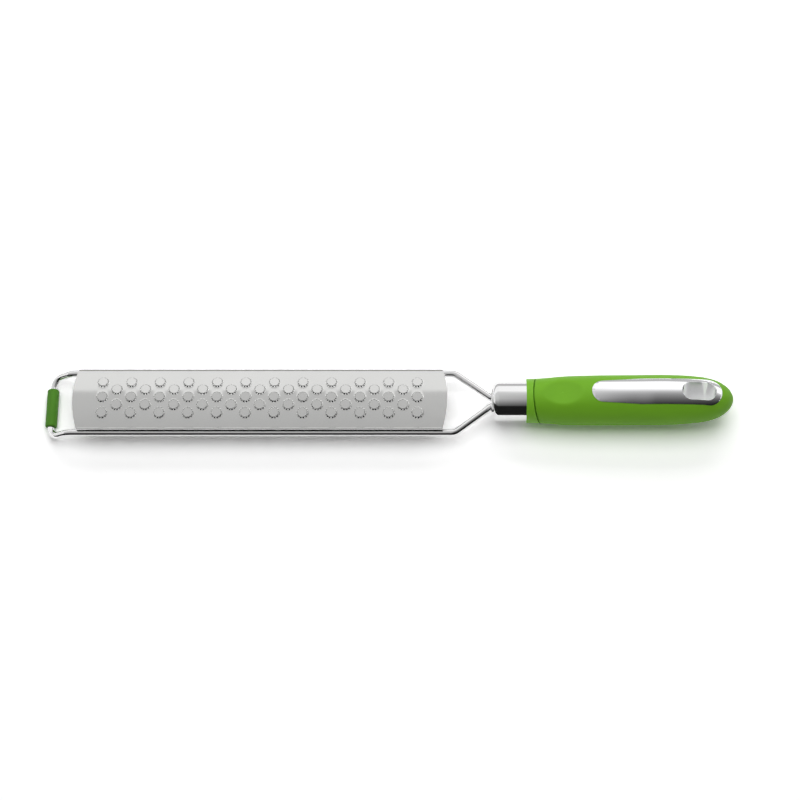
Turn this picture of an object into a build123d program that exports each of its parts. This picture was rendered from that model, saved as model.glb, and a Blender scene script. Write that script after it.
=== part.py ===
from build123d import *
import math
import os

# Rasp zester, in millimetres. The working frame has x = 0 at the ferrule's rear face, +X towards the
# handle and z = 0 on the ferrule's axis. place_on_table moves the finished pieces so that the origin
# is the middle of the tool's footprint, on the table.

# Wire frame
wire_dia = 3.85
rail_drop = 2.6
rail_inset = 0.9
neck_length = 19.3
neck_bend_radius = 6.0
leg_gap = 0.5
leg_drop = 1.5
leg_bend_radius = 5.0
leg_entry_depth = 0.65
leg_depth = 24.0
tip_reach = 10.2
tip_dip_radius = 8.0
tip_corner_radius = 6.0

# Blade
blade_length = 201.8
blade_width = 36.6
blade_end_sagitta = 2.8
arch_radius = 60.0
crown_above_rails = 7.9
sheet = 0.5
edge_bend_radius = 0.8
flange_length = 3.9
blade_to_neck = 4.2
blade_to_crossbar = 12.8

# Grating rings: five staggered rows on a regular hexagonal grid
ring_pitch = 15.4
row_angle = 30.0
long_row_count = 12
rows = range(-2, 3)
teeth_per_ring = 12
ring_base_radius = 3.1
ring_top_radius = 2.6
ring_height = 0.9
ring_root = 0.2
notch_radius_share = 0.91
ring_cap = 0.35
ring_wall = 0.6

# Ferrule
ferrule_radius = 11.1
ferrule_length = 14.5
ferrule_wall = 0.6
nose_crown = 0.6
nose_round = 4.0

# Handle
handle_length = 111.6
belly_radius = 13.55
handle_tilt = 1.06
grip_wall = 2.2
front_round = 0.5
parting_x = 6.2
parting_angle = 12.0
groove_width = 0.5
dimple_x = 18.1
dimple_length = 22.0
dimple_depth = 2.2
# Outline of the handle: station along its length, radius as a share of the belly's
outline_shares = (
    (0.0, 0.882), (0.067, 0.894), (0.18, 0.968), (0.33, 0.996), (0.52, 1.0), (0.70, 0.992),
    (0.80, 0.942), (0.875, 0.858), (0.94, 0.664), (0.982, 0.38), (1.0, 0.0),
)

# Chrome inlay and hanging hole
plate_start = 35.2
plate_to_tail = 6.6
plate_front_radius = 6.2
plate_radius = 7.45
plate_shoulder_x = 62.0
plate_proud = 0.25
hole_to_tail = 18.95
hole_length = 18.6
hole_width = 10.2
liner_wall = 1.2

# Tip sleeve
sleeve_dia = 6.4
sleeve_length = 22.0
sleeve_offset = -0.4
sleeve_end_round = 0.6

# Clamp round the two legs
clamp_x = 9.0
clamp_length = 8.0
clamp_wall = 1.2

# Clearances, and the overrun of every cut
fit_gap = 0.05
tunnel_gap = 0.1
overrun = 1.0

# Places worked out from the sizes
nose_tip_x = -(ferrule_length + nose_crown + nose_round)
neck_x = nose_tip_x - neck_length
blade_rear_x = neck_x - blade_to_neck
blade_mid_x = blade_rear_x - blade_length / 2
crossbar_x = blade_rear_x - blade_length - blade_to_crossbar
leg_spacing = wire_dia + leg_gap
plate_end = handle_length - plate_to_tail
hole_x = handle_length - hole_to_tail
rail_spacing = blade_width - 2 * rail_inset
rail_z = -rail_drop
crown_z = rail_z + crown_above_rails
row_pitch = ring_pitch / 2 * math.tan(math.radians(row_angle))
reach = handle_length + blade_length


def handle_curve(inset):
    """Upper outline of the handle in the XZ plane, drawn in by inset."""
    length = handle_length - inset
    radius = belly_radius - inset
    points = [(x * length, 0, r * radius) for x, r in outline_shares]
    return Spline(*points, tangents=((1, 0, 0), (0, 0, -1)))


def tilted(shape):
    """The handle's axis rises slightly towards its tail."""
    return shape.rotate(Axis.Y, -handle_tilt)


def handle_body(inset):
    """Solid of revolution of the handle, run forward past the ferrule's face for trimming."""
    curve = handle_curve(inset)
    front = curve @ 0
    forward = (-overrun, 0, front.Z)
    outline = Wire([curve, Line(curve @ 1, (-overrun, 0, 0)), Line((-overrun, 0, 0), forward),
                    Line(forward, front)])
    return revolve(make_face(outline), Axis.X)


def trimmed_at_ferrule(shape):
    """The part of a shape behind the ferrule's rear face."""
    return split(shape, bisect_by=Plane.YZ, keep=Keep.TOP)


def table_level():
    """Height of the handle's lowest line, where the tool rests on the table."""
    lowest = handle_curve(0).mirror(Plane.XY)
    return tilted(lowest).bounding_box().min.Z


crossbar_z = table_level() + sleeve_dia / 2


def wire_path():
    """Centre line of the bent rod, from one leg round the tip to the other leg."""
    rail_y = rail_spacing / 2
    leg_y = leg_spacing / 2
    half = [
        (leg_depth, leg_y, -leg_drop),
        (nose_tip_x + leg_entry_depth, leg_y, -leg_drop),
        (neck_x, rail_y, rail_z),
        (crossbar_x + tip_reach, rail_y, rail_z),
        (crossbar_x, rail_y, crossbar_z),
    ]
    other_half = [(x, -y, z) for x, y, z in reversed(half)]
    half_radii = [leg_bend_radius, neck_bend_radius, tip_dip_radius, tip_corner_radius]
    return FilletPolyline(*half, *other_half, radius=half_radii + half_radii[::-1])


def rod(radius):
    """Round rod of a given radius along the wire's centre line."""
    path = wire_path()
    return sweep(Plane(origin=path @ 0, z_dir=path % 0) * Circle(radius), path=path)


def blade_profile():
    """Cross-section of the blade: arched sheet with a flange folded square to each long edge."""
    half_angle = math.asin(blade_width / 2 / arch_radius)
    inner_radius = arch_radius - sheet

    def at_edge(side, inward, out):
        """Point at a distance in from the edge and out from the arch's centre."""
        y = out * math.sin(half_angle) - inward * math.cos(half_angle)
        z = out * math.cos(half_angle) + inward * math.sin(half_angle)
        return (side * y, crown_z - arch_radius + z)

    flange_end = arch_radius - flange_length
    inner_corner = math.sqrt(inner_radius ** 2 - sheet ** 2)
    left, right = [
        [at_edge(side, sheet, inner_corner), at_edge(side, sheet, flange_end),
         at_edge(side, 0, flange_end), at_edge(side, 0, arch_radius)]
        for side in (-1, 1)
    ]
    outline = make_face(Wire([
        ThreePointArc(left[3], (0, crown_z), right[3]),
        Line(right[3], right[2]), Line(right[2], right[1]), Line(right[1], right[0]),
        ThreePointArc(right[0], (0, crown_z - sheet), left[0]),
        Line(left[0], left[1]), Line(left[1], left[2]), Line(left[2], left[3]),
    ]))
    corners = outline.vertices().sort_by(Axis.X)
    return Plane.YZ * fillet([corners[0], corners[-1]], edge_bend_radius)


def blade_plan():
    """Plan outline of the blade, with both ends cut to a convex arc."""
    half_length = blade_length / 2
    corner_x = half_length - blade_end_sagitta
    half_width = blade_width / 2
    edges = []
    for side in (1, -1):
        edges.append(ThreePointArc(
            (side * corner_x, -side * half_width), (side * half_length, 0),
            (side * corner_x, side * half_width)))
        edges.append(Line((side * corner_x, side * half_width), (-side * corner_x, side * half_width)))
    return make_face(Wire(edges))


def frustum(lower, upper):
    """Flat-faced solid between two similar outlines at two heights."""
    walls = [
        make_face(Polyline(lower[k - 1], lower[k], upper[k], upper[k - 1], close=True))
        for k in range(len(lower))
    ]
    ends = [make_face(Polyline(*outline, close=True)) for outline in (lower, upper)]
    return Solid(Shell([face.face() for face in walls + ends]))


def ring_outline(radii, z):
    """Closed outline round a grating ring, its corner radii taken from radii in turn."""
    count = len(radii) * teeth_per_ring
    corners = []
    for k in range(count):
        angle = 2 * math.pi * (k + 1 - len(radii) / 2) / count
        radius = radii[k % len(radii)]
        corners.append((radius * math.cos(angle), radius * math.sin(angle), z))
    return corners


def ring_boss():
    """Raised cap of one grating ring, with a tooth between each two notches."""
    def toothed(radius, z):
        return ring_outline((notch_radius_share * radius, radius), z)

    slope = (ring_base_radius - ring_top_radius) / ring_height
    return frustum(toothed(ring_base_radius + slope * ring_root, -ring_root),
                   toothed(ring_top_radius, ring_height))


def ring_hollow():
    """Round hollow punched up from below under one grating ring."""
    depth = sheet + overrun
    return Pos(0, 0, -depth) * Cylinder(
        ring_top_radius - ring_wall, depth + ring_height - ring_cap,
        align=(Align.CENTER, Align.CENTER, Align.MIN))


def ring_places():
    """Place and tilt of every grating ring on the arch."""
    places = []
    for row in rows:
        count = long_row_count - abs(row) % 2
        angle = math.degrees(row * row_pitch / arch_radius)
        for k in range(count):
            x = blade_mid_x + (k - (count - 1) / 2) * ring_pitch
            places.append(Pos(x, 0, crown_z - arch_radius) * Rot(-angle, 0, 0) * Pos(0, 0, arch_radius))
    return places


def make_blade():
    """Grating blade: arched sheet, flanges seated on the rails, and the toothed rings."""
    front_x = blade_mid_x - blade_length / 2
    strip = Pos(front_x, 0, 0) * extrude(blade_profile(), blade_length)
    plan = Pos(blade_mid_x, 0, -reach / 2) * extrude(blade_plan(), reach)
    blade = strip & plan
    blade -= rod(wire_dia / 2)
    places = ring_places()
    boss = ring_boss()
    hollow = ring_hollow()
    blade = blade + [place * boss for place in places]
    return blade - [place * hollow for place in places]


def collar(radius, tip_x, rear_x, rounding):
    """Round collar with a shallow domed nose."""
    shoulder = (tip_x + nose_crown, radius)
    dome = ThreePointArc((tip_x, 0), (tip_x + nose_crown / 4, radius / 2), shoulder)
    outline = make_face(Wire([
        dome, Line(shoulder, (rear_x, radius)), Line((rear_x, radius), (rear_x, 0)),
        Line((rear_x, 0), (tip_x, 0)),
    ]))
    outer_corner = outline.vertices().sort_by(Axis.Y)[-2:].sort_by(Axis.X)[0]
    rounded = fillet(outer_corner, rounding)
    return revolve(Plane.XZ * rounded, Axis.X)


def make_ferrule():
    """Deep-drawn steel collar, closed in front but for the tunnel of the legs."""
    shell = collar(ferrule_radius, nose_tip_x, 0, nose_round)
    inside = collar(ferrule_radius - ferrule_wall, nose_tip_x + ferrule_wall, overrun,
                    nose_round - ferrule_wall)
    return shell - inside - rod(wire_dia / 2 + tunnel_gap)


def leg_band(wall, x, length):
    """Stadium-shaped block round both legs."""
    width = leg_spacing + wire_dia + 2 * wall
    band = extrude(Plane.YZ * SlotOverall(width, wire_dia + 2 * wall), length)
    return Pos(x, 0, -leg_drop) * band


def make_leg_clamp():
    """Crimped band that holds the two legs side by side."""
    return leg_band(clamp_wall, clamp_x, clamp_length) - rod(wire_dia / 2 + fit_gap)


def parting_plane():
    """Slanted plane where the soft grip meets the core's front ring."""
    slant = math.radians(parting_angle)
    return Plane(origin=(parting_x, 0, 0), z_dir=(math.cos(slant), 0, math.sin(slant)))


def hole_prism(margin):
    """Upright prism of the hanging hole, widened by margin."""
    outline = SlotOverall(hole_length + 2 * margin, hole_width + 2 * margin)
    return Pos(hole_x, 0, -reach / 2) * extrude(outline, reach)


def plate_prism(margin):
    """Upright prism of the inlay's outline above the handle's axis, widened by margin."""
    circles = [
        Pos(plate_start + plate_front_radius, 0) * Circle(plate_front_radius + margin),
        Pos(plate_shoulder_x, 0) * Circle(plate_radius + margin),
        Pos(plate_end - plate_radius, 0) * Circle(plate_radius + margin),
    ]
    outline = make_hull([circle.edge() for circle in circles])
    return extrude(outline, reach / 2)


def make_hang_plate():
    """Chrome inlay with the liner of the hanging hole in one piece."""
    skin = handle_body(-plate_proud)
    plate = (skin - handle_body(grip_wall)) & plate_prism(0)
    liner = skin & hole_prism(liner_wall)
    return tilted(plate + liner - hole_prism(0))


def dimple_cutter():
    """Shallow crosswise hollow for the thumb."""
    radius = (dimple_length ** 2 / 4 + dimple_depth ** 2) / (2 * dimple_depth)
    stations = [handle_curve(0).position_at(k / 100) for k in range(60)]
    surface_z = min(stations, key=lambda p: abs(p.X - dimple_x)).Z
    cutter = Rot(90, 0, 0) * Cylinder(radius, 2 * blade_width)
    return Pos(dimple_x, 0, surface_z - dimple_depth + radius) * cutter


def make_soft_grip():
    """Soft overmould from the groove to the tail."""
    behind = parting_plane().offset(groove_width)
    grip = split(handle_body(0), bisect_by=behind, keep=Keep.TOP) - handle_body(grip_wall)
    grip = grip - dimple_cutter() - plate_prism(fit_gap) - hole_prism(liner_wall + fit_gap)
    return tilted(grip)


def make_handle_core():
    """Rigid core: spigot in the ferrule, front ring, and the body under the soft grip."""
    ring = split(handle_body(0), bisect_by=parting_plane(), keep=Keep.BOTTOM)
    body = ring + handle_body(grip_wall + fit_gap) - hole_prism(liner_wall + fit_gap)
    body = trimmed_at_ferrule(tilted(body))
    front_rim = body.edges().filter_by(GeomType.CIRCLE).filter_by_position(Axis.X, 0, 0)
    if front_rim:
        body = fillet(front_rim.sort_by(Edge.length)[-1], front_round)
    step = ferrule_wall + tunnel_gap
    spigot = collar(ferrule_radius - step, nose_tip_x + step, overrun, nose_round - step)
    core = body + spigot
    return core - rod(wire_dia / 2 + tunnel_gap) - leg_band(
        clamp_wall + fit_gap, clamp_x - fit_gap, clamp_length + 2 * fit_gap)


def make_tip_sleeve():
    """Soft sleeve pushed over the crossbar, on which the tip rests."""
    tube = Cylinder(sleeve_dia / 2, sleeve_length)
    tube = fillet(tube.edges().filter_by(GeomType.CIRCLE), sleeve_end_round)
    tube -= Cylinder(wire_dia / 2 + fit_gap, sleeve_length + overrun)
    return Pos(crossbar_x, sleeve_offset, crossbar_z) * Rot(90, 0, 0) * tube


def place_on_table(pieces):
    """Moves all pieces so that the origin is the footprint's middle, at table level."""
    tail_x = tilted(handle_curve(0)).bounding_box().max.X
    front_x = crossbar_x - sleeve_dia / 2
    shift = Pos(-(front_x + tail_x) / 2, 0, -table_level())
    return {name: shift * piece for name, piece in pieces.items()}


pieces = place_on_table({
    "blade": make_blade(),
    "frame_wire": rod(wire_dia / 2),
    "tip_sleeve": make_tip_sleeve(),
    "ferrule": make_ferrule(),
    "leg_clamp": make_leg_clamp(),
    "handle_core": make_handle_core(),
    "soft_grip": make_soft_grip(),
    "hang_plate": make_hang_plate(),
})

os.makedirs("parts", exist_ok=True)
for name, piece in pieces.items():
    export_step(piece, f"parts/{name}.step")
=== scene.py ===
"""Rasp zester on a white studio table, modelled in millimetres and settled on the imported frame."""
import logging
import math
from contextlib import contextmanager
from dataclasses import dataclass
from enum import Enum
from typing import Callable, Iterator, NamedTuple, Sequence, Union

import bmesh
import bpy
from mathutils import Matrix, Vector


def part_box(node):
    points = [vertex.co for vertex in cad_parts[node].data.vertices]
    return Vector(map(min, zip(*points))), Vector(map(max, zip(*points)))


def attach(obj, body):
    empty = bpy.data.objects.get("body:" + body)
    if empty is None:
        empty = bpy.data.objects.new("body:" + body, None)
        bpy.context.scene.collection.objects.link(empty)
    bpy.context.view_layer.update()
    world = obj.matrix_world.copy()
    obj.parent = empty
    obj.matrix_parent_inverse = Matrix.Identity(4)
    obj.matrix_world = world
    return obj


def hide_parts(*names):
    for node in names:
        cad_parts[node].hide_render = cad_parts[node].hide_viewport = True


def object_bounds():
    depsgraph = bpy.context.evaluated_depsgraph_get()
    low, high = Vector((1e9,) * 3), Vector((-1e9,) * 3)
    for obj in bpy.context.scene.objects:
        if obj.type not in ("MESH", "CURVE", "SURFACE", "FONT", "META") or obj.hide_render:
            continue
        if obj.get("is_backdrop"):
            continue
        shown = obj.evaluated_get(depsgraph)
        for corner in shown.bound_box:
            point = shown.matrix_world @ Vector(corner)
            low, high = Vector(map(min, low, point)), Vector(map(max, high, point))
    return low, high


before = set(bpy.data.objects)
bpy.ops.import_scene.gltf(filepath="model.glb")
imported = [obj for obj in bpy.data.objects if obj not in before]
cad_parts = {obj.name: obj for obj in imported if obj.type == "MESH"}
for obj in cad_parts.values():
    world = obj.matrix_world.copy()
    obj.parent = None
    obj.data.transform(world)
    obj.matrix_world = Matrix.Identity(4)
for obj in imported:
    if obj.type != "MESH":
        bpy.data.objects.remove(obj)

log = logging.getLogger("rasp_zester")

MM = 0.001

# Tolerances in millimetres, from the finest cut to the widest match of two places
CUT_GAP = 0.0005
MERGE_GAP = 0.001
EDGE_GAP = 0.002
LEVEL_GAP = 0.005
PLACE_GAP = 0.01
OUTLINE_GAP = 0.02

# Half of the angle that one side of a hexagon spans, in degrees
HALF_SIDE = 30.0

Point = tuple[float, float]
Part = Union[bmesh.types.BMVert, bmesh.types.BMEdge, bmesh.types.BMFace]


class Element(Enum):
    """What a selection in edit mode picks."""

    VERTICES = "VERT"
    EDGES = "EDGE"
    FACES = "FACE"


class Cut(Enum):
    """How one closed shape works on another."""

    REMOVE = "DIFFERENCE"
    KEEP_SHARED = "INTERSECT"
    JOIN = "UNION"


def clear_selection() -> None:
    """Leaves nothing selected, so that the next primitive stands alone."""
    for other in bpy.context.selected_objects:
        other.select_set(False)


def activate(obj: bpy.types.Object) -> None:
    """Makes one object the only selected and the active one.

    Args:
        obj: Object to work on.
    """
    clear_selection()
    obj.select_set(True)
    bpy.context.view_layer.objects.active = obj


def fresh(name: str) -> bpy.types.Object:
    """Names the primitive just added and applies its placing to its mesh.

    Args:
        name: New name of the object and its mesh.

    Returns:
        The object.
    """
    obj = bpy.context.object
    bpy.ops.object.transform_apply(location=True, rotation=True, scale=True)
    obj.name = name
    obj.data.name = name
    return obj


@contextmanager
def editing(obj: bpy.types.Object) -> Iterator[None]:
    """Edit mode on one object, entered with nothing selected.

    Args:
        obj: Object whose mesh is edited.
    """
    activate(obj)
    bpy.ops.object.mode_set(mode="EDIT")
    bpy.ops.mesh.select_mode(type=Element.VERTICES.value)
    bpy.ops.mesh.select_all(action="DESELECT")
    yield
    bpy.ops.object.mode_set(mode="OBJECT")


def select_all() -> None:
    """Selects the whole of the mesh being edited."""
    bpy.ops.mesh.select_all(action="SELECT")


def middle(part: Part) -> Vector:
    """Middle of a vertex, an edge or a face.

    Args:
        part: A part of the mesh being edited.

    Returns:
        Its middle.
    """
    if isinstance(part, bmesh.types.BMVert):
        return part.co
    return sum((v.co for v in part.verts), Vector()) / len(part.verts)


def pick(element: Element, test: Callable[[Part], bool]) -> None:
    """Selects what passes a test, in the mesh being edited.

    Args:
        element: Kind of part that the test looks at.
        test: Says whether one part is picked.
    """
    data = bpy.context.object.data
    bpy.ops.mesh.select_mode(type=element.value)
    mesh = bmesh.from_edit_mesh(data)
    parts = {Element.VERTICES: mesh.verts, Element.EDGES: mesh.edges, Element.FACES: mesh.faces}
    for part in parts[element]:
        part.select_set(test(part))
    mesh.select_flush_mode()
    bmesh.update_edit_mesh(data)


def extrude(rise: float) -> None:
    """Extrudes the selection straight up or down."""
    bpy.ops.mesh.extrude_region_move(TRANSFORM_OT_translate={"value": (0, 0, rise)})


def extrude_rim(rise: float) -> None:
    """Extrudes only the selected edges, straight up or down."""
    bpy.ops.mesh.extrude_edges_move(TRANSFORM_OT_translate={"value": (0, 0, rise)})


def widen(share: float, height: float) -> None:
    """Scales the selection away from the Z axis, at one height."""
    bpy.ops.transform.resize(value=(share, share, 1), center_override=(0, 0, height))


def tidy(obj: bpy.types.Object) -> None:
    """Merges doubles and turns all faces outwards.

    Args:
        obj: Object whose mesh is cleaned.
    """
    with editing(obj):
        select_all()
        bpy.ops.mesh.remove_doubles(threshold=MERGE_GAP)
        bpy.ops.mesh.normals_make_consistent(inside=False)


def apply_modifier(obj: bpy.types.Object, kind: str, **settings: object) -> None:
    """Adds a modifier with its settings and applies it at once.

    Args:
        obj: Object that gets it.
        kind: Type of the modifier.
        settings: Its settings, by name.
    """
    activate(obj)
    modifier = obj.modifiers.new(kind.title(), kind)
    for key, value in settings.items():
        setattr(modifier, key, value)
    bpy.ops.object.modifier_apply(modifier=modifier.name)


def combine(obj: bpy.types.Object, tool: bpy.types.Object, cut: Cut) -> None:
    """Cuts, keeps or joins one closed shape with another, which is used up by it.

    Args:
        obj: Shape that is changed.
        tool: Shape that works on it.
        cut: What is done.
    """
    apply_modifier(obj, "BOOLEAN", object=tool, operation=cut.value, solver="EXACT")
    bpy.data.objects.remove(tool)


def copy_of(obj: bpy.types.Object, name: str) -> bpy.types.Object:
    """A copy of an object with its own mesh.

    Args:
        obj: Object to copy.
        name: Name of the copy.

    Returns:
        The copy, linked to the scene.
    """
    twin = obj.copy()
    twin.data = obj.data.copy()
    twin.name = name
    bpy.context.scene.collection.objects.link(twin)
    return twin


def joined(pieces: Sequence[bpy.types.Object], name: str) -> bpy.types.Object:
    """Several objects as one, under a name.

    Args:
        pieces: Objects to join.
        name: Name of the result.

    Returns:
        The first object, which now holds them all.
    """
    activate(pieces[0])
    for piece in pieces:
        piece.select_set(True)
    bpy.ops.object.join()
    pieces[0].name = name
    return pieces[0]


def shade(obj: bpy.types.Object, angle: float) -> None:
    """Smooth shading, with edges sharper than an angle in degrees kept crisp."""
    activate(obj)
    bpy.ops.object.shade_smooth_by_angle(angle=math.radians(angle))


def square(name: str, size: float) -> bpy.types.Object:
    """A flat square at the origin.

    Args:
        name: Name of the new object.
        size: Length of its side.

    Returns:
        The square.
    """
    clear_selection()
    bpy.ops.mesh.primitive_plane_add(size=size)
    return fresh(name)


def polyline(name: str, places: Sequence[tuple[float, float, float]]) -> bpy.types.Object:
    """Chain of edges from place to place.

    Args:
        name: Name of the new object.
        places: Corners of the chain, in turn.

    Returns:
        The chain.
    """
    clear_selection()
    bpy.ops.mesh.primitive_plane_add(size=1, location=places[0])
    line = fresh(name)
    with editing(line):
        select_all()
        bpy.ops.mesh.merge(type="CENTER")
        for start, end in zip(places, places[1:]):
            step = tuple(b - a for a, b in zip(start, end))
            bpy.ops.mesh.extrude_vertices_move(TRANSFORM_OT_translate={"value": step})
    return line


def revolved(name: str, outline: Sequence[Point], sides: int) -> bpy.types.Object:
    """Turned shape about the X axis.

    Args:
        name: Name of the new object.
        outline: Points of the profile, each a place along X and a radius.
        sides: How many steps go round.

    Returns:
        The closed shape, with its faces outwards.
    """
    shape = polyline(name, [(x, 0, radius) for x, radius in outline])
    with editing(shape):
        select_all()
        bpy.ops.mesh.spin(steps=sides, angle=math.tau, center=(0, 0, 0), axis=(1, 0, 0))
    tidy(shape)
    return shape


def prism(name: str, outline: Sequence[Point], low: float, high: float) -> bpy.types.Object:
    """Upright block on a plan outline.

    Args:
        name: Name of the new object.
        outline: Corners in the plan, in turn.
        low: Height of its foot.
        high: Height of its top.

    Returns:
        The closed block.
    """
    block = polyline(name, [(x, y, low) for x, y in outline])
    with editing(block):
        select_all()
        bpy.ops.mesh.edge_face_add()
        extrude(high - low)
    tidy(block)
    return block


def arc(centre: Point, radius: float, start: float, end: float, steps: int) -> list[Point]:
    """Points on an arc, with its angles in degrees."""
    angles = [math.radians(start + (end - start) * k / steps) for k in range(steps + 1)]
    return [(centre[0] + radius * math.cos(a), centre[1] + radius * math.sin(a)) for a in angles]


def smooth_curve(points: Sequence[Point], first: Point, last: Point, steps: int) -> list[Point]:
    """Even curve through points.

    Args:
        points: Points that the curve goes through.
        first: Direction at the first point.
        last: Direction at the last point.
        steps: Steps from each point to the next.

    Returns:
        The points of the curve.
    """
    places = [Vector(p) for p in points]
    spans = [(b - a).length for a, b in zip(places, places[1:])]
    slopes = [Vector(first)]
    for k in range(1, len(places) - 1):
        before = (places[k] - places[k - 1]) / spans[k - 1]
        after = (places[k + 1] - places[k]) / spans[k]
        slopes.append((before * spans[k] + after * spans[k - 1]) / (spans[k] + spans[k - 1]))
    slopes.append(Vector(last))
    curve = []
    for k, span in enumerate(spans):
        for step in range(steps):
            t = step / steps
            curve.append(tuple(
                places[k] * (1 - 3 * t ** 2 + 2 * t ** 3)
                + places[k + 1] * (3 * t ** 2 - 2 * t ** 3)
                + slopes[k] * (t - 2 * t ** 2 + t ** 3) * span
                + slopes[k + 1] * (t ** 3 - t ** 2) * span))
    return curve + [tuple(places[-1])]


def bare_material(name: str) -> bpy.types.Material:
    """A node material that holds no nodes yet.

    Args:
        name: Name of the material.

    Returns:
        The material.
    """
    material = bpy.data.materials.new(name)
    material.use_nodes = True
    material.node_tree.nodes.clear()
    return material


def object_place(tree: bpy.types.NodeTree) -> bpy.types.NodeSocket:
    """Object coordinates of the point that is shaded."""
    return tree.nodes.new("ShaderNodeTexCoord").outputs["Object"]


def maths(tree: bpy.types.NodeTree, operation: str,
          *values: bpy.types.NodeSocket) -> bpy.types.NodeSocket:
    """Result of an operation on some values.

    Args:
        tree: Node tree that gets the node.
        operation: What is done.
        values: What it is done on.

    Returns:
        The result.
    """
    node = tree.nodes.new("ShaderNodeMath")
    node.operation = operation
    for value, socket in zip(values, node.inputs):
        tree.links.new(value, socket)
    return node.outputs["Value"]


def map_range(tree: bpy.types.NodeTree, value: bpy.types.NodeSocket,
              ends: dict[str, float]) -> bpy.types.NodeSocket:
    """A value taken from one range to another.

    Args:
        tree: Node tree that gets the node.
        value: What is mapped.
        ends: Ends of the two ranges, by the names of their sockets. Both run from 0 to 1 otherwise.

    Returns:
        The mapped value.
    """
    node = tree.nodes.new("ShaderNodeMapRange")
    for name, end in ends.items():
        node.inputs[name].default_value = end
    tree.links.new(value, node.inputs["Value"])
    return node.outputs["Result"]


@dataclass(frozen=True)
class Seat:
    """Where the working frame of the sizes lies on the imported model.

    Its x = 0 is the ferrule's rear face, and its z = 0 the ferrule's axis.
    """

    x: float
    z: float

    @classmethod
    def on_ferrule(cls) -> "Seat":
        """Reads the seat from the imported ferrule."""
        low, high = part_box("ferrule")
        return cls(high.x / MM, (low.z + high.z) / 2 / MM)

    def settle(self, piece: bpy.types.Object, tilt: float = 0.0) -> None:
        """Takes a piece from the working frame to its place, in metres.

        Args:
            piece: Object whose mesh is moved.
            tilt: Degrees by which its +X end is raised.
        """
        turn = Matrix.Rotation(-math.radians(tilt), 4, "Y")
        place = Matrix.Translation((self.x, 0, self.z))
        piece.data.transform(Matrix.Scale(MM, 4) @ place @ turn)


@dataclass(frozen=True)
class Finish:
    """A procedural finish: base colour, gloss, mottling and a fine relief.

    The grain is noise on Object coordinates, stretched by its scale along each axis.
    """

    name: str
    colour: tuple[float, float, float]
    shade: tuple[float, float, float]
    metallic: float
    roughness: float
    roughness_spread: float
    grain_scale: tuple[float, float, float]
    relief: float
    relief_depth: float
    mottling_scale: float
    specular: float = 0.5
    grain_detail: float = 6.0
    mottling_detail: float = 3.0

    def make(self) -> bpy.types.Material:
        """Builds the material.

        Returns:
            A node material on Object coordinates.
        """
        material = bpy.data.materials.new(self.name)
        material.use_nodes = True
        tree = material.node_tree
        shader = tree.nodes["Principled BSDF"]
        shader.inputs["Metallic"].default_value = self.metallic
        shader.inputs["Specular IOR Level"].default_value = self.specular
        place = object_place(tree)
        stretch = tree.nodes.new("ShaderNodeMapping")
        stretch.inputs["Scale"].default_value = self.grain_scale
        tree.links.new(place, stretch.inputs["Vector"])
        grain = self._noise(tree, stretch.outputs["Vector"], 1.0, self.grain_detail)
        mottling = self._noise(tree, place, self.mottling_scale, self.mottling_detail)
        tint = tree.nodes.new("ShaderNodeMix")
        tint.data_type = "RGBA"
        tint.inputs["A"].default_value = (*self.shade, 1)
        tint.inputs["B"].default_value = (*self.colour, 1)
        tree.links.new(mottling, tint.inputs["Factor"])
        tree.links.new(tint.outputs["Result"], shader.inputs["Base Color"])
        gloss = map_range(tree, grain, {
            "To Min": self.roughness - self.roughness_spread,
            "To Max": self.roughness + self.roughness_spread})
        tree.links.new(gloss, shader.inputs["Roughness"])
        relief = tree.nodes.new("ShaderNodeBump")
        relief.inputs["Strength"].default_value = self.relief
        relief.inputs["Distance"].default_value = self.relief_depth
        tree.links.new(grain, relief.inputs["Height"])
        tree.links.new(relief.outputs["Normal"], shader.inputs["Normal"])
        return material

    @staticmethod
    def _noise(tree: bpy.types.NodeTree, place: bpy.types.NodeSocket, scale: float,
               detail: float) -> bpy.types.NodeSocket:
        """Noise at a place, with its scale and detail.

        Args:
            tree: Node tree that gets the node.
            place: Where the noise is read.
            scale: Scale of the noise.
            detail: Number of its octaves.

        Returns:
            The noise there, from 0 to 1.
        """
        noise = tree.nodes.new("ShaderNodeTexNoise")
        noise.inputs["Scale"].default_value = scale
        noise.inputs["Detail"].default_value = detail
        tree.links.new(place, noise.inputs["Vector"])
        return noise.outputs["Fac"]


BLADE_STEEL = Finish(
    name="blade_steel", colour=(0.66, 0.66, 0.65), shade=(0.60, 0.60, 0.59), metallic=1.0,
    roughness=0.13, roughness_spread=0.03, grain_scale=(60.0, 9000.0, 9000.0),
    relief=0.12, relief_depth=0.00002, mottling_scale=30.0)
POLISHED_STEEL = Finish(
    name="polished_steel", colour=(0.80, 0.80, 0.80), shade=(0.74, 0.74, 0.74), metallic=1.0,
    roughness=0.07, roughness_spread=0.02, grain_scale=(400.0, 6000.0, 6000.0),
    relief=0.03, relief_depth=0.00001, mottling_scale=60.0)
CHROME = Finish(
    name="chrome_inlay", colour=(0.86, 0.86, 0.87), shade=(0.82, 0.82, 0.83), metallic=1.0,
    roughness=0.045, roughness_spread=0.015, grain_scale=(900.0, 3000.0, 3000.0),
    relief=0.02, relief_depth=0.00001, mottling_scale=40.0)
GRIP_RUBBER = Finish(
    name="grip_green", colour=(0.195, 0.490, 0.018), shade=(0.175, 0.455, 0.016), metallic=0.0,
    roughness=0.55, roughness_spread=0.06, grain_scale=(2600.0, 2600.0, 2600.0),
    relief=0.10, relief_depth=0.00004, mottling_scale=90.0, specular=0.28)
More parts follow.
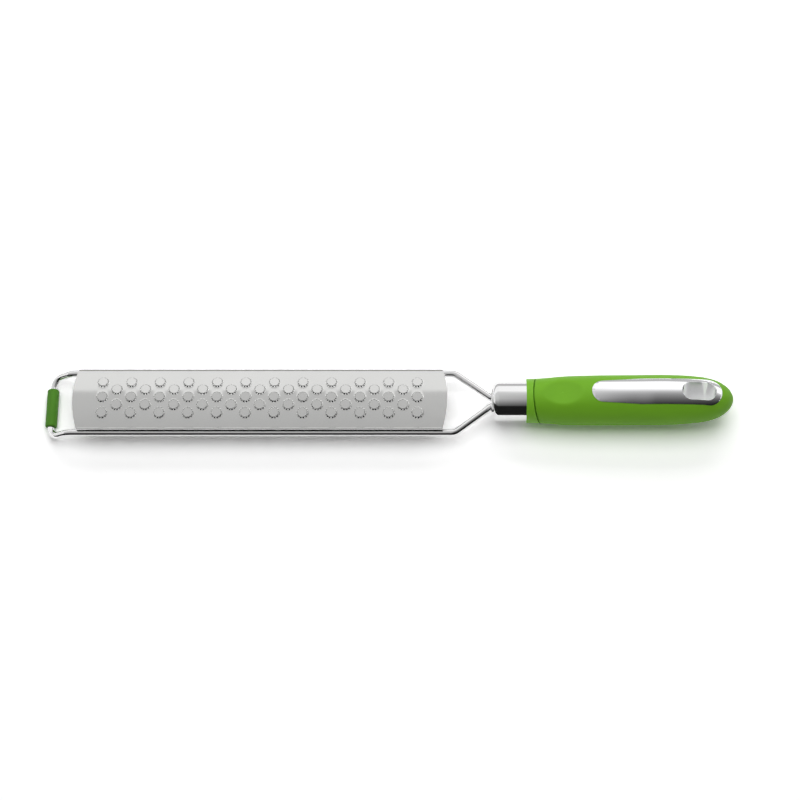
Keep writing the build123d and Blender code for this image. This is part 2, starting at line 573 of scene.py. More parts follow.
CORE_PLASTIC = Finish(
    name="core_green", colour=(0.215, 0.540, 0.024), shade=(0.195, 0.500, 0.022), metallic=0.0,
    roughness=0.45, roughness_spread=0.05, grain_scale=(1800.0, 1800.0, 1800.0),
    relief=0.06, relief_depth=0.00003, mottling_scale=90.0, specular=0.32)
SLEEVE_RUBBER = Finish(
    name="sleeve_green", colour=(0.085, 0.265, 0.018), shade=(0.066, 0.220, 0.015), metallic=0.0,
    roughness=0.58, roughness_spread=0.06, grain_scale=(2400.0, 2400.0, 2400.0),
    relief=0.12, relief_depth=0.00004, mottling_scale=120.0, specular=0.28)
CLAMP_STEEL = Finish(
    name="clamp_steel", colour=(0.50, 0.50, 0.50), shade=(0.44, 0.44, 0.44), metallic=1.0,
    roughness=0.38, roughness_spread=0.08, grain_scale=(300.0, 4000.0, 4000.0),
    relief=0.15, relief_depth=0.00003, mottling_scale=80.0)
FINISHES = (
    BLADE_STEEL, POLISHED_STEEL, CHROME, GRIP_RUBBER, CORE_PLASTIC, SLEEVE_RUBBER, CLAMP_STEEL)


class Wardrobe:
    """The finishes of the tool, each made once."""

    def __init__(self) -> None:
        """Makes the material of every finish."""
        self.materials = {finish.name: finish.make() for finish in FINISHES}

    def dress(self, piece: bpy.types.Object, finish: Finish) -> None:
        """Gives a piece one finish all over."""
        piece.data.materials.clear()
        piece.data.materials.append(self.materials[finish.name])

    def present(self, piece: bpy.types.Object, node: str, finish: Finish) -> None:
        """Dresses a new piece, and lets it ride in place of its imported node.

        Args:
            piece: The new piece.
            node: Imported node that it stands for.
            finish: What it is dressed in.
        """
        self.dress(piece, finish)
        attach(piece, "root")
        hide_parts(node)
        log.info("%s: %d faces in place of %s", piece.name, len(piece.data.polygons), node)


class Level(NamedTuple):
    """One level of a ring's wall.

    Its notch is the share of the radius to which the vertices of the notches are drawn in.
    """

    radius: float
    height: float
    notch: float


@dataclass
class Blade:
    """Arched grating blade: one sheet with staggered toothed rings and folded edges."""

    length: float = 201.8
    width: float = 36.6
    rear_x: float = -42.6
    end_sagitta: float = 2.8
    arch_radius: float = 60.0
    crown_z: float = 5.3
    sheet: float = 0.5
    edge_bend_radius: float = 0.8
    flange_length: float = 3.5
    ring_pitch: float = 15.4
    long_row_count: int = 12
    side_row_count: int = 2
    spare_cells: int = 2
    teeth: int = 12
    steps_per_tooth: int = 4
    ring_top_radius: float = 2.54
    ring_height: float = 0.9
    wall: tuple[Level, ...] = (
        Level(2.60, 0.84, 0.905), Level(2.74, 0.56, 0.915), Level(2.97, 0.14, 0.975),
        Level(3.15, 0.04, 1.0), Level(3.75, 0.0, 1.0))
    # Levels of the wall at the foot and at the top of the slits under the notches
    slit_levels: tuple[int, int] = (3, 1)
    # Open edges farther out than this share of the last level's radius are the foot of the wall
    foot_share: float = 0.97
    end_facets: int = 16
    bend_steps: int = 4
    crease: float = 32.0

    @property
    def flat_half(self) -> float:
        """Half of the sheet's width before it is arched."""
        return self.arch_radius * math.asin(self.width / 2 / self.arch_radius)

    @property
    def fold_y(self) -> float:
        """Distance from the middle of the flat sheet to where its edge's fold begins."""
        return self.flat_half - self.edge_bend_radius

    @property
    def cell_radius(self) -> float:
        """Corner radius of the hexagon that each ring stands in."""
        return self.ring_pitch / 3

    @property
    def row_pitch(self) -> float:
        """Distance from one row of rings to the next."""
        return self.ring_pitch / 2 * math.tan(math.radians(HALF_SIDE))

    @property
    def half_step(self) -> float:
        """Half of the angle from one vertex of a ring to the next, in degrees."""
        return 180 / self.teeth / self.steps_per_tooth

    def build(self, seat: Seat) -> bpy.types.Object:
        """Models the blade flat, trims it, folds its edges and arches it.

        Args:
            seat: Where the working frame lies.

        Returns:
            The blade in its place.
        """
        blade = joined(self._field(), "blade_sheet")
        with editing(blade):
            select_all()
            bpy.ops.mesh.remove_doubles(threshold=PLACE_GAP)
        self._trim(blade)
        for side in (1, -1):
            self._fold_edge(blade, side)
        self._face_up(blade)
        apply_modifier(blade, "SOLIDIFY", thickness=self.sheet, offset=-1)
        self._arch(blade)
        mid_x = self.rear_x - self.length / 2
        blade.data.transform(Matrix.Translation((mid_x, 0, self.crown_z)))
        shade(blade, self.crease)
        seat.settle(blade)
        return blade

    def _notch_offset(self, place: Vector) -> float:
        """Angle in degrees from a place to the nearest notch of its ring.

        Args:
            place: A place in the ring's own frame.

        Returns:
            The angle, never below 0.
        """
        period = 360 / self.teeth
        angle = math.degrees(math.atan2(place.y, place.x))
        return abs((angle + period / 2) % period - period / 2)

    def _square_up(self) -> None:
        """Takes each selected vertex of a round border out to the hexagon of its cell."""
        mesh = bmesh.from_edit_mesh(bpy.context.object.data)
        places = [v.co.copy() for v in mesh.verts if v.select]
        apothem = self.cell_radius * math.cos(math.radians(HALF_SIDE))
        for place in places:
            turn = math.degrees(math.atan2(place.y, place.x))
            from_side = (turn + 2 * HALF_SIDE) % (2 * HALF_SIDE) - HALF_SIDE
            share = apothem / math.cos(math.radians(from_side)) / place.xy.length
            pick(Element.VERTICES, lambda v, p=place: (
                (v.co - p).length < PLACE_GAP and not v.is_wire and v.is_boundary))
            widen(share, place.z)

    def _ring_cell(self) -> bpy.types.Object:
        """One raised ring in its hexagon of sheet.

        Returns:
            The cell, with the ring's axis at the origin.
        """
        clear_selection()
        radius, height = self.ring_top_radius, self.ring_height
        bpy.ops.mesh.primitive_circle_add(
            vertices=self.teeth * self.steps_per_tooth, radius=radius, fill_type="NGON",
            location=(0, 0, height))
        cell = fresh("ring_cell")
        with editing(cell):
            self._draw_in(height, self.wall[0].notch)
            for level in self.wall:
                pick(Element.EDGES, lambda e, z=height: (
                    e.is_boundary and abs(middle(e).z - z) < LEVEL_GAP))
                extrude_rim(level.height - height)
                widen(level.radius / radius, level.height)
                radius, height = level.radius, level.height
            self._even_out()
            self._open_slits()
            pick(Element.EDGES, lambda e: (
                e.is_boundary and middle(e).xy.length > radius * self.foot_share))
            extrude_rim(0)
            self._square_up()
        return cell

    def _draw_in(self, height: float, share: float) -> None:
        """Draws the notch vertices of one level in towards the ring's axis.

        Args:
            height: Height of the level.
            share: Share of their radius that the vertices keep.
        """
        pick(Element.VERTICES, lambda v: (
            abs(v.co.z - height) < LEVEL_GAP and self._notch_offset(v.co) < self.half_step))
        widen(share, height)

    def _even_out(self) -> None:
        """Sets the notches of every level of the wall to their own depth."""
        for level in self.wall:
            self._draw_in(level.height, level.notch / self.wall[0].notch)

    def _open_slits(self) -> None:
        """Opens the wall under each notch."""
        low, high = (self.wall[level].height for level in self.slit_levels)
        pick(Element.FACES, lambda f: (
            low < middle(f).z < high and self._notch_offset(middle(f)) < 2 * self.half_step))
        bpy.ops.mesh.delete(type="FACE")

    def _blank_cell(self) -> bpy.types.Object:
        """One plain hexagon of sheet.

        Returns:
            The cell, with its middle at the origin.
        """
        clear_selection()
        bpy.ops.mesh.primitive_circle_add(
            vertices=self.teeth * self.steps_per_tooth, radius=self.cell_radius,
            fill_type="TRIFAN")
        cell = fresh("blank_cell")
        with editing(cell):
            pick(Element.EDGES, lambda e: e.is_boundary)
            self._square_up()
        return cell

    def _field(self) -> list[bpy.types.Object]:
        """Rows of cells that cover the flat sheet and a little more.

        Returns:
            One object for each run of equal cells.
        """
        ring, blank = self._ring_cell(), self._blank_cell()
        rows = []
        last_row = math.ceil(self.flat_half / self.row_pitch) + 1
        for row in range(-last_row, last_row + 1):
            odd = abs(row) % 2
            rings = self.long_row_count - odd if abs(row) <= self.side_row_count else 0
            cells = self.long_row_count + self.spare_cells + odd
            ends = (cells - rings) // 2
            start = -(cells - 1) / 2 * self.ring_pitch
            y = row * self.row_pitch
            if rings:
                rows.append(self._row(ring, start + ends * self.ring_pitch, y, rings))
                rows.append(self._row(blank, start, y, ends))
                rows.append(self._row(blank, start + (ends + rings) * self.ring_pitch, y, ends))
            else:
                rows.append(self._row(blank, start, y, cells))
        bpy.data.objects.remove(ring)
        bpy.data.objects.remove(blank)
        return rows

    def _row(self, cell: bpy.types.Object, x: float, y: float, count: int) -> bpy.types.Object:
        """Copies of a cell in line, from a first place.

        Args:
            cell: Cell that is copied.
            x: Place of the first copy along the blade.
            y: Place of the row across the blade.
            count: Number of copies.

        Returns:
            The row.
        """
        row = copy_of(cell, "cell_row")
        row.data.transform(Matrix.Translation((x, y, 0)))
        if count > 1:
            apply_modifier(
                row, "ARRAY", count=count, use_relative_offset=False, use_constant_offset=True,
                constant_offset_displace=(self.ring_pitch, 0, 0))
        return row

    def _trim(self, blade: bpy.types.Object) -> None:
        """Cuts the sheet to its convex ends, and to its sides where the folds begin.

        Args:
            blade: The flat sheet.
        """
        end_radius = (self.flat_half ** 2 + self.end_sagitta ** 2) / (2 * self.end_sagitta)
        half_turn = math.asin(self.flat_half / end_radius)
        centre = self.length / 2 - end_radius
        planes = [((0, side * self.fold_y, 0), (0, side, 0)) for side in (1, -1)]
        for side in (1, -1):
            for k in range(self.end_facets):
                turn = half_turn * (2 * (k + 0.5) / self.end_facets - 1)
                x = side * (centre + end_radius * math.cos(turn))
                place = (x, end_radius * math.sin(turn), 0)
                planes.append((place, (side * math.cos(turn), math.sin(turn), 0)))
        with editing(blade):
            for place, normal in planes:
                select_all()
                bpy.ops.mesh.bisect(
                    plane_co=place, plane_no=normal, clear_outer=True, threshold=CUT_GAP)

    def _fold_edge(self, blade: bpy.types.Object, side: int) -> None:
        """Folds one long edge down with a small radius.

        Args:
            blade: The trimmed sheet.
            side: 1 for the far edge and -1 for the near one.
        """
        edge_y = side * self.fold_y
        radius = self.edge_bend_radius
        with editing(blade):
            pick(Element.EDGES, lambda e: (
                e.is_boundary and all(abs(v.co.y - edge_y) < EDGE_GAP for v in e.verts)))
            bpy.ops.mesh.spin(
                steps=self.bend_steps, angle=math.pi / 2, center=(0, edge_y, -radius),
                axis=(-side, 0, 0))
            extrude(radius - self.flange_length)

    @staticmethod
    def _face_up(blade: bpy.types.Object) -> None:
        """Turns the sheet's faces outwards, with the flat of it facing up.

        Args:
            blade: The sheet with its folded edges.
        """
        with editing(blade):
            select_all()
            bpy.ops.mesh.normals_make_consistent(inside=False)
        largest = max(blade.data.polygons, key=lambda face: face.area)
        if largest.normal.z < 0:
            with editing(blade):
                select_all()
                bpy.ops.mesh.flip_normals()

    def _arch(self, blade: bpy.types.Object) -> None:
        """Bends the sheet across its width, its outer face on the arch's radius.

        Args:
            blade: The sheet with its folded edges.
        """
        upright = Matrix.Rotation(math.radians(90), 4, "X")
        blade.data.transform(upright)
        apply_modifier(
            blade, "SIMPLE_DEFORM", deform_method="BEND", deform_axis="X",
            angle=2 * self.flat_half / self.arch_radius)
        blade.data.transform(upright.inverted())


@dataclass
class Handle:
    """Turned handle: the soft grip with its dimple, and the chrome inlay with the hanging hole."""

    length: float = 111.6
    belly_radius: float = 13.55
    tilt: float = 1.06
    grip_wall: float = 2.2
    parting_x: float = 6.2
    parting_angle: float = 12.0
    groove_width: float = 0.5
    lip_round: float = 0.35
    lip_steps: int = 3
    dimple_x: float = 18.1
    dimple_length: float = 22.0
    dimple_depth: float = 2.05
    dimple_cross_radius: float = 60.0
    # Share of its length, to each side of its middle, over which the dimple's rim is evened out
    dimple_reach: float = 0.75
    thumb_sides: int = 480
    smoothing_passes: int = 6
    plate_start: float = 35.2
    plate_end: float = 105.0
    plate_front_radius: float = 6.2
    plate_radius: float = 7.45
    plate_shoulder_x: float = 62.0
    plate_proud: float = 0.22
    plate_rim: float = 0.45
    front_steps: int = 28
    rear_steps: int = 32
    shoulder_steps: int = 2
    hole_x: float = 92.65
    hole_length: float = 18.6
    hole_width: float = 10.2
    hole_rim: float = 1.0
    hole_steps: int = 20
    rim_steps: int = 4
    liner_wall: float = 1.2
    fit_gap: float = 0.05
    sides: int = 120
    grip_steps: int = 18
    reach: float = 40.0
    grip_crease: float = 35.0
    inlay_crease: float = 40.0
    # Edges farther out than these shares of the belly's radius are on the outside
    grip_outside: float = 0.8
    inlay_outside: float = 0.6
    # Angle in radians from which an edge of the inlay is sharp, and rise of a normal that looks up
    sharp_turn: float = 0.4
    facing_up: float = 0.3
    outline_shares: tuple[Point, ...] = (
        (0.0, 0.882), (0.067, 0.894), (0.18, 0.968), (0.33, 0.996), (0.52, 1.0), (0.70, 0.992),
        (0.80, 0.942), (0.875, 0.858), (0.94, 0.664), (0.982, 0.38), (1.0, 0.0))

    def outline(self, inset: float, steps: int) -> list[Point]:
        """Profile of the handle, drawn in by inset, from the ferrule to the tail.

        Args:
            inset: How far it lies inside the handle's own outline.
            steps: Steps from each point to the next.

        Returns:
            Points of the profile, each a place along X and a radius.
        """
        length, radius = self.length - inset, self.belly_radius - inset
        points = [(x * length, r * radius) for x, r in self.outline_shares]
        return smooth_curve(points, (1, 0), (0, -1), steps)

    def skin(self, name: str, inset: float, steps: int = 9) -> bpy.types.Object:
        """Closed body of the handle, drawn in by inset.

        Args:
            name: Name of the new object.
            inset: How far it lies inside the handle's outline.
            steps: Steps from each point of the outline to the next.

        Returns:
            The closed body.
        """
        return revolved(name, [(0.0, 0.0)] + self.outline(inset, steps), self.sides)

    def hole_outline(self, margin: float) -> list[Point]:
        """Plan outline of the hanging hole, widened by margin.

        Args:
            margin: How far it lies outside the hole's own outline.

        Returns:
            Corners of the outline, in turn.
        """
        radius = self.hole_width / 2 + margin
        offset = self.hole_length / 2 - self.hole_width / 2
        return (arc((self.hole_x + offset, 0), radius, -90, 90, self.hole_steps)
                + arc((self.hole_x - offset, 0), radius, 90, 270, self.hole_steps))

    def plate_outline(self, margin: float) -> list[Point]:
        """Plan outline of the inlay, widened by margin.

        Args:
            margin: How far it lies outside the inlay's own outline.

        Returns:
            Corners of the outline, in turn.
        """
        front_x = self.plate_start + self.plate_front_radius
        rear_x = self.plate_end - self.plate_radius
        shoulder = (self.plate_shoulder_x, 0)
        slope = math.degrees(math.asin(
            (self.plate_radius - self.plate_front_radius) / (self.plate_shoulder_x - front_x)))
        radius, front_radius = self.plate_radius + margin, self.plate_front_radius + margin
        return (arc((rear_x, 0), radius, -90, 90, self.rear_steps)
                + arc(shoulder, radius, 90, 90 + slope, self.shoulder_steps)
                + arc((front_x, 0), front_radius, 90 + slope, 270 - slope, self.front_steps)
                + arc(shoulder, radius, 270 - slope, 270, self.shoulder_steps))

    def parting(self, offset: float) -> tuple[Vector, Vector]:
        """Place and direction of the slanted parting plane, moved towards the tail by offset.

        Args:
            offset: How far the plane is moved.

        Returns:
            A point of the plane and its normal.
        """
        slant = math.radians(self.parting_angle)
        normal = Vector((math.cos(slant), 0, math.sin(slant)))
        return Vector((self.parting_x, 0, 0)) + offset * normal, normal

    def through(self, name: str, outline: Sequence[Point]) -> bpy.types.Object:
        """Block on a plan outline that goes right through the handle."""
        return prism(name, outline, -self.reach, self.reach)

    def build_grip(self, seat: Seat) -> bpy.types.Object:
        """Soft overmould: shell with the thumb dimple, the inlay's pocket and the hanging hole.

        Args:
            seat: Where the working frame lies.

        Returns:
            The grip in its place.
        """
        grip = self.skin("soft_grip_skin", 0, self.grip_steps)
        self._press_dimple(grip)
        combine(grip, self.skin("grip_inside", self.grip_wall), Cut.REMOVE)
        place, normal = self.parting(self.groove_width)
        with editing(grip):
            select_all()
            bpy.ops.mesh.bisect(
                plane_co=place, plane_no=normal, clear_inner=True, use_fill=True,
                threshold=CUT_GAP)
        self._soften_front(grip, place, normal)
        pocket = prism("pocket", self.plate_outline(self.fit_gap), 0, self.reach)
        combine(grip, pocket, Cut.REMOVE)
        hole = self.through("hole", self.hole_outline(self.liner_wall + self.fit_gap))
        combine(grip, hole, Cut.REMOVE)
        shade(grip, self.grip_crease)
        seat.settle(grip, self.tilt)
        return grip

    def _soften_front(self, shell: bpy.types.Object, place: Vector, normal: Vector) -> None:
        """Rounds the outer rim at the parting plane.

        Args:
            shell: The grip, cut at the parting plane.
            place: A point of the plane.
            normal: The plane's normal.
        """
        outer = self.grip_outside * self.belly_radius
        with editing(shell):
            pick(Element.EDGES, lambda e: all(
                abs((v.co - place).dot(normal)) < PLACE_GAP and v.co.yz.length > outer
                for v in e.verts))
            bpy.ops.mesh.bevel(offset=self.lip_round, segments=self.lip_steps, profile=0.5)

    def _press_dimple(self, skin: bpy.types.Object) -> None:
        """Presses the thumb's hollow into the top of the skin, and evens out its rim.

        Args:
            skin: The grip's closed body.
        """
        depth = self.dimple_depth
        long_radius = (self.dimple_length ** 2 / 4 + depth ** 2) / (2 * depth)
        profile = self.outline(0, self.grip_steps)
        top = min(profile, key=lambda p: abs(p[0] - self.dimple_x))[1]
        clear_selection()
        bpy.ops.mesh.primitive_uv_sphere_add(
            segments=self.thumb_sides, ring_count=self.thumb_sides // 2, radius=1,
            rotation=(math.radians(90), 0, 0),
            location=(self.dimple_x, 0, top - depth + long_radius),
            scale=(long_radius, long_radius, self.dimple_cross_radius))
        thumb = fresh("thumb")
        apply_modifier(
            skin, "SHRINKWRAP", target=thumb, wrap_method="NEAREST_SURFACEPOINT",
            wrap_mode="OUTSIDE")
        bpy.data.objects.remove(thumb)
        group = skin.vertex_groups.new(name="dimple")
        half = self.dimple_reach * self.dimple_length
        near = [v.index for v in skin.data.vertices
                if v.co.z > 0 and abs(v.co.x - self.dimple_x) < half]
        group.add(near, 1.0, "REPLACE")
        apply_modifier(
            skin, "SMOOTH", factor=0.5, iterations=self.smoothing_passes, vertex_group="dimple")

    def build_inlay(self, seat: Seat) -> bpy.types.Object:
        """Chrome inlay with a rounded rim and the liner of the hanging hole.

        Args:
            seat: Where the working frame lies.

        Returns:
            The inlay in its place.
        """
        plate = self.skin("hang_plate_chrome", -self.plate_proud)
        combine(plate, prism("plan", self.plate_outline(0), 0, self.reach), Cut.KEEP_SHARED)
        combine(plate, self.skin("inside", self.grip_wall), Cut.REMOVE)
        liner = self.skin("liner", 0)
        liner_plan = self.through("liner_plan", self.hole_outline(self.liner_wall))
        combine(liner, liner_plan, Cut.KEEP_SHARED)
        combine(plate, liner, Cut.JOIN)
        combine(plate, self.through("hole", self.hole_outline(0)), Cut.REMOVE)
        self._round_rim(plate, self.hole_outline(0), self.hole_rim)
        self._round_rim(plate, self.plate_outline(0), self.plate_rim)
        shade(plate, self.inlay_crease)
        seat.settle(plate, self.tilt)
        return plate

    @staticmethod
    def _on_outline(place: Vector, outline: Sequence[Point]) -> bool:
        """Whether a place lies on a plan outline.

        Args:
            place: A place, whose height doesn't count.
            outline: Corners of the outline, in turn.

        Returns:
            True where it lies on one of the outline's sides.
        """
        for (x0, y0), (x1, y1) in zip(outline, list(outline[1:]) + [outline[0]]):
            span = Vector((x1 - x0, y1 - y0))
            if span.length < CUT_GAP:
                continue
            along = (place.xy - Vector((x0, y0))).dot(span) / span.length_squared
            foot = Vector((x0, y0)) + max(0, min(1, along)) * span
            if (place.xy - foot).length < OUTLINE_GAP:
                return True
        return False

    def _round_rim(self, plate: bpy.types.Object, outline: Sequence[Point], width: float) -> None:
        """Rounds the sharp edge of the inlay's upper side that follows a plan outline.

        Args:
            plate: The inlay.
            outline: Corners of the outline, in turn.
            width: Width of the rounding.
        """
        outer = self.belly_radius * self.inlay_outside
        with editing(plate):
            pick(Element.EDGES, lambda e: (
                e.calc_face_angle(0) > self.sharp_turn
                and middle(e).yz.length > outer and middle(e).z > 0
                and all(self._on_outline(v.co, outline) for v in e.verts)
                and any(face.normal.z > self.facing_up for face in e.link_faces)))
            bpy.ops.mesh.bevel(
                offset=width, segments=self.rim_steps, profile=0.5, clamp_overlap=True)


@dataclass
class TipSleeve:
    """Soft tube on the tip's crossbar."""

    diameter: float = 6.4
    length: float = 22.0
    bore: float = 3.95
    end_round: float = 0.9
    end_steps: int = 6
    sides: int = 64
    crease: float = 40.0

    def build(self) -> bpy.types.Object:
        """Turns the tube and lays it on the crossbar.

        Returns:
            The sleeve in its place.
        """
        half, bore, corner = self.length / 2, self.bore / 2, self.end_round
        edge_x, edge_radius = half - corner, self.diameter / 2 - corner
        outline = [(-half, bore)]
        outline += arc((-edge_x, edge_radius), corner, 180, 90, self.end_steps)
        outline += arc((edge_x, edge_radius), corner, 90, 0, self.end_steps)
        outline += [(half, bore), (-half, bore)]
        tube = revolved("tip_sleeve_tube", outline, self.sides)
        low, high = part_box("tip_sleeve")
        centre = (low + high) / 2
        turn = Matrix.Rotation(math.radians(90), 4, "Z")
        tube.data.transform(Matrix.Translation(centre) @ turn @ Matrix.Scale(MM, 4))
        shade(tube, self.crease)
        return tube


@dataclass(frozen=True)
class Lamp:
    """A soft lamp on the sky's arc, unseen in reflections.

    Its angle is in degrees from straight up, positive on the far side of the tool. The length and
    width of its face and its distance from the tool are in metres, and its power is in watts.
    """

    name: str
    angle: float
    size: Point
    power: float
    distance: float = 1.3

    def hang(self) -> None:
        """Hangs the lamp in its place, facing the tool."""
        light = bpy.data.lights.new(self.name, "AREA")
        light.shape = "RECTANGLE"
        light.size, light.size_y = self.size
        light.energy = self.power
        lamp = bpy.data.objects.new(self.name, light)
        turn = math.radians(self.angle)
        lamp.location = (0, self.distance * math.sin(turn), self.distance * math.cos(turn))
        lamp.rotation_euler = (-turn, 0, 0)
        lamp.visible_glossy = False
        bpy.context.scene.collection.objects.link(lamp)


@dataclass
class Studio:
    """White table, softbox sky and camera of the photograph.

    Angles of the sky are degrees from straight up, positive on the far side of the tool.
    """

    elevation: float = 66.0
    distance: float = 1.370
    lens: float = 114.2
    sensor: float = 36.0
    aim_x: float = 0.03865
    shift: Point = (-0.075, 0.00125)
    clip: Point = (0.05, 50.0)
    sky_radius: float = 0.9
    sky_length: float = 3.0
    sky_sides: int = 96
    # Angle and brightness of the sky over the blade, from the far horizon to the camera's side
    blade_sky: tuple[Point, ...] = (
        (90, 0.62), (69, 0.62), (67, 1.13), (31.5, 1.13), (30, 0.76), (10, 0.73), (-10, 0.66),
        (-20, 0.54), (-30, 0.38), (-46, 0.18), (-54, 0.04), (-90, 0.01))
    # The same over the handle, and where along the tool the one blends into the other
    handle_sky: tuple[Point, ...] = (
        (90, 0.57), (69, 0.57), (67, 1.3), (28, 1.3), (23, 1.0), (16, 0.64), (8, 0.43), (-1, 0.30),
        (-10, 0.22), (-19, 0.15), (-29, 0.09), (-38, 0.05), (-52, 0.02), (-90, 0.005))
    blend_from: float = 0.05
    blend_to: float = 0.18
    floor_size: float = 12.0
    # Share of its light that the table gives back to the tool, and to the camera
    floor_bounce: float = 0.88
    floor_white: float = 1.54
    # Distances at which the table starts and ends its rise to plain white
    shadow_reach: float = 0.33
    white_from: float = 1.1
    card_size: Point = (2.4, 0.45)
    card_tilt: float = -42.0
    card_gap: float = 0.052
    card_lift: float = 0.001
    card_grey: float = 0.016
    # Strength of the world for all that isn't seen, straight or in a reflection
    fill: float = 0.09
    lamps: tuple[Lamp, ...] = (
        Lamp("top", 9.0, (1.6, 1.1), 10.5), Lamp("far", 54.0, (1.6, 0.5), 6.5),
        Lamp("front", -66.0, (1.6, 0.5), 1.8))

    def build(self, seat: Seat) -> None:
        """Sets the stage, the world, the lamps and the camera.

        Args:
            seat: Where the working frame lies.
        """
        self._floor()
        self._sky()
        self._card()
        self._world()
        for lamp in self.lamps:
            lamp.hang()
        self._camera(seat)

    @staticmethod
    def _seen(tree: bpy.types.NodeTree) -> bpy.types.NodeSocket:
        """1 for what the camera sees, straight or in a reflection, and 0 for the rest."""
        rays = tree.nodes.new("ShaderNodeLightPath").outputs
        return maths(tree, "MAXIMUM", rays["Is Camera Ray"], rays["Is Glossy Ray"])

    def _floor(self) -> None:
        """White table that keeps the tool's shadow."""
        floor = square("floor", self.floor_size)
        floor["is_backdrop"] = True
        material = bare_material("white_table")
        tree = material.node_tree
        seen = self._seen(tree)
        surface = tree.nodes.new("ShaderNodeBsdfDiffuse")
        white = map_range(tree, seen, {"To Min": self.floor_bounce, "To Max": self.floor_white})
        tree.links.new(white, surface.inputs["Color"])
        away = tree.nodes.new("ShaderNodeVectorMath")
        away.operation = "LENGTH"
        tree.links.new(object_place(tree), away.inputs[0])
        rise = map_range(tree, away.outputs["Value"], {
            "From Min": self.shadow_reach, "From Max": self.white_from})
        glow = tree.nodes.new("ShaderNodeEmission")
        tree.links.new(maths(tree, "MULTIPLY", rise, seen), glow.inputs["Strength"])
        both = tree.nodes.new("ShaderNodeAddShader")
        tree.links.new(surface.outputs["BSDF"], both.inputs[0])
        tree.links.new(glow.outputs["Emission"], both.inputs[1])
        output = tree.nodes.new("ShaderNodeOutputMaterial")
        tree.links.new(both.outputs["Shader"], output.inputs["Surface"])
        floor.data.materials.append(material)

    @staticmethod
    def _only_in_reflections(obj: bpy.types.Object) -> None:
        """Hides a piece of the stage from all but reflections.

        Args:
            obj: Piece of the stage.
        """
        obj.visible_camera = False
        obj.visible_diffuse = False
        obj.visible_shadow = False
        obj.visible_transmission = False
        obj.visible_volume_scatter = False

    def _sky(self) -> None:
        """Half tunnel along the tool whose brightness follows the angle from straight up."""
        clear_selection()
        bpy.ops.mesh.primitive_cylinder_add(
            vertices=self.sky_sides, radius=self.sky_radius, depth=self.sky_length,
            end_fill_type="NOTHING", rotation=(0, math.radians(90), 0))
        sky = fresh("sky")
        with editing(sky):
            pick(Element.FACES, lambda f: middle(f).z < 0)
            bpy.ops.mesh.delete(type="FACE")
        sky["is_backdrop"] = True
        self._only_in_reflections(sky)
        material = bare_material("softbox_sky")
        tree = material.node_tree
        axes = tree.nodes.new("ShaderNodeSeparateXYZ")
        tree.links.new(object_place(tree), axes.inputs["Vector"])
        angle = maths(tree, "ARCTAN2", axes.outputs["Y"], axes.outputs["Z"])
        share = map_range(tree, angle, {"From Min": -math.pi / 2, "From Max": math.pi / 2})
        blend = map_range(tree, axes.outputs["X"], {
            "From Min": self.blend_from, "From Max": self.blend_to})
        both = tree.nodes.new("ShaderNodeMix")
        both.data_type = "FLOAT"
        tree.links.new(blend, both.inputs["Factor"])
        for stops, socket in ((self.blade_sky, "A"), (self.handle_sky, "B")):
            tree.links.new(self._ramp(tree, stops, share), both.inputs[socket])
        glow = tree.nodes.new("ShaderNodeEmission")
        tree.links.new(both.outputs["Result"], glow.inputs["Strength"])
        output = tree.nodes.new("ShaderNodeOutputMaterial")
        tree.links.new(glow.outputs["Emission"], output.inputs["Surface"])
        sky.data.materials.append(material)

    @staticmethod
    def _ramp(tree: bpy.types.NodeTree, stops: Sequence[Point],
              share: bpy.types.NodeSocket) -> bpy.types.NodeSocket:
        """Brightness at a share of the way from the near horizon to the far one.

        Args:
            tree: Node tree that gets the ramp.
            stops: Angle in degrees and brightness of each stop.
            share: Where the ramp is read.

        Returns:
            The brightness there.
        """
        ramp = tree.nodes.new("ShaderNodeValToRGB")
        elements = ramp.color_ramp.elements
        while len(elements) < len(stops):
            elements.new(0.5)
        for element, (degrees, value) in zip(elements, sorted(stops)):
            element.position = (degrees + 90) / 180
            element.color = (value, value, value, 1)
        tree.links.new(share, ramp.inputs["Fac"])
        return ramp.outputs["Color"]

    def _card(self) -> None:
        """Black card that stands just in front of the tool, seen only in its metal."""
        card = square("card", 1)
        card.data.transform(Matrix.Diagonal((*self.card_size, 1, 1)))
        card.data.transform(Matrix.Rotation(math.radians(self.card_tilt), 4, "X"))
        lowest = min(v.co.z for v in card.data.vertices)
        nearest = max(v.co.y for v in card.data.vertices)
        step = (0, -self.card_gap - nearest, self.card_lift - lowest)
        card.data.transform(Matrix.Translation(step))
        card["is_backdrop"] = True
        self._only_in_reflections(card)
        material = bpy.data.materials.new("black_card")
        material.use_nodes = True
        grey = self.card_grey
        shader = material.node_tree.nodes["Principled BSDF"]
        shader.inputs["Base Color"].default_value = (grey, grey, grey, 1)
        shader.inputs["Roughness"].default_value = 1.0
        shader.inputs["Specular IOR Level"].default_value = 0.0
        card.data.materials.append(material)

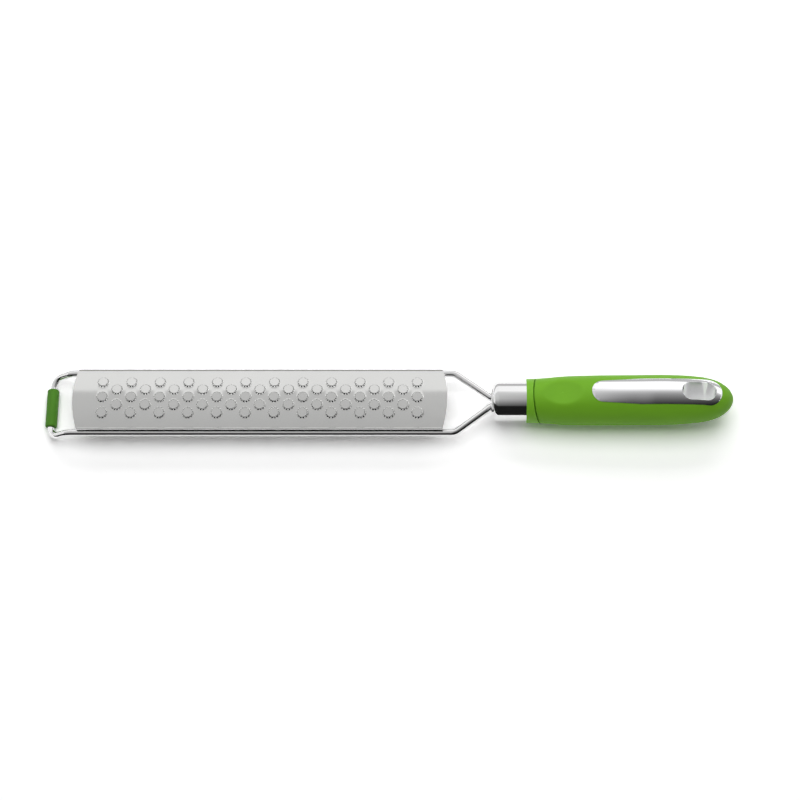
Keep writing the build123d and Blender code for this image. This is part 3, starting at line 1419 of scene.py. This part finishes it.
    def _world(self) -> None:
        """White to the camera and in reflections, and a faint fill to everything else."""
        world = bpy.data.worlds.new("studio")
        bpy.context.scene.world = world
        world.use_nodes = True
        tree = world.node_tree
        background = tree.nodes["Background"]
        background.inputs["Color"].default_value = (1, 1, 1, 1)
        strength = map_range(tree, self._seen(tree), {"To Min": self.fill, "To Max": 1.0})
        tree.links.new(strength, background.inputs["Strength"])

    def _camera(self, seat: Seat) -> None:
        """Camera of the photograph, aimed at a point on the tool's axis.

        Args:
            seat: Where the working frame lies.
        """
        data = bpy.data.cameras.new("camera")
        data.lens = self.lens
        data.sensor_width = self.sensor
        data.shift_x, data.shift_y = self.shift
        data.clip_start, data.clip_end = self.clip
        camera = bpy.data.objects.new("camera", data)
        rise = math.radians(self.elevation)
        camera.location = (self.aim_x, -self.distance * math.cos(rise),
                           seat.z * MM + self.distance * math.sin(rise))
        camera.rotation_euler = (math.radians(90) - rise, 0, 0)
        bpy.context.scene.collection.objects.link(camera)
        bpy.context.scene.camera = camera


def note_size(key: str, sizes: dict[str, list[list[float]]]) -> None:
    """Notes the bounds of all that shows, as plain numbers."""
    low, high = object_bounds()
    sizes[key] = [[float(x) for x in low], [float(x) for x in high]]


def main() -> None:
    """Builds the tool's visible pieces, dresses them and sets the studio."""
    logging.basicConfig(level=logging.INFO, format="%(name)s: %(message)s")
    sizes: dict[str, list[list[float]]] = {}
    note_size("cad", sizes)
    seat = Seat.on_ferrule()
    wardrobe = Wardrobe()
    handle = Handle()
    wardrobe.present(Blade().build(seat), "blade", BLADE_STEEL)
    wardrobe.present(handle.build_grip(seat), "soft_grip", GRIP_RUBBER)
    wardrobe.present(handle.build_inlay(seat), "hang_plate", CHROME)
    wardrobe.present(TipSleeve().build(), "tip_sleeve", SLEEVE_RUBBER)
    for node, finish in (("frame_wire", POLISHED_STEEL), ("ferrule", POLISHED_STEEL),
                         ("handle_core", CORE_PLASTIC), ("leg_clamp", CLAMP_STEEL)):
        wardrobe.dress(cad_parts[node], finish)
    Studio().build(seat)
    bpy.context.scene.view_settings.view_transform = "Standard"
    note_size("visual", sizes)


if __name__ == "__main__":
    main()
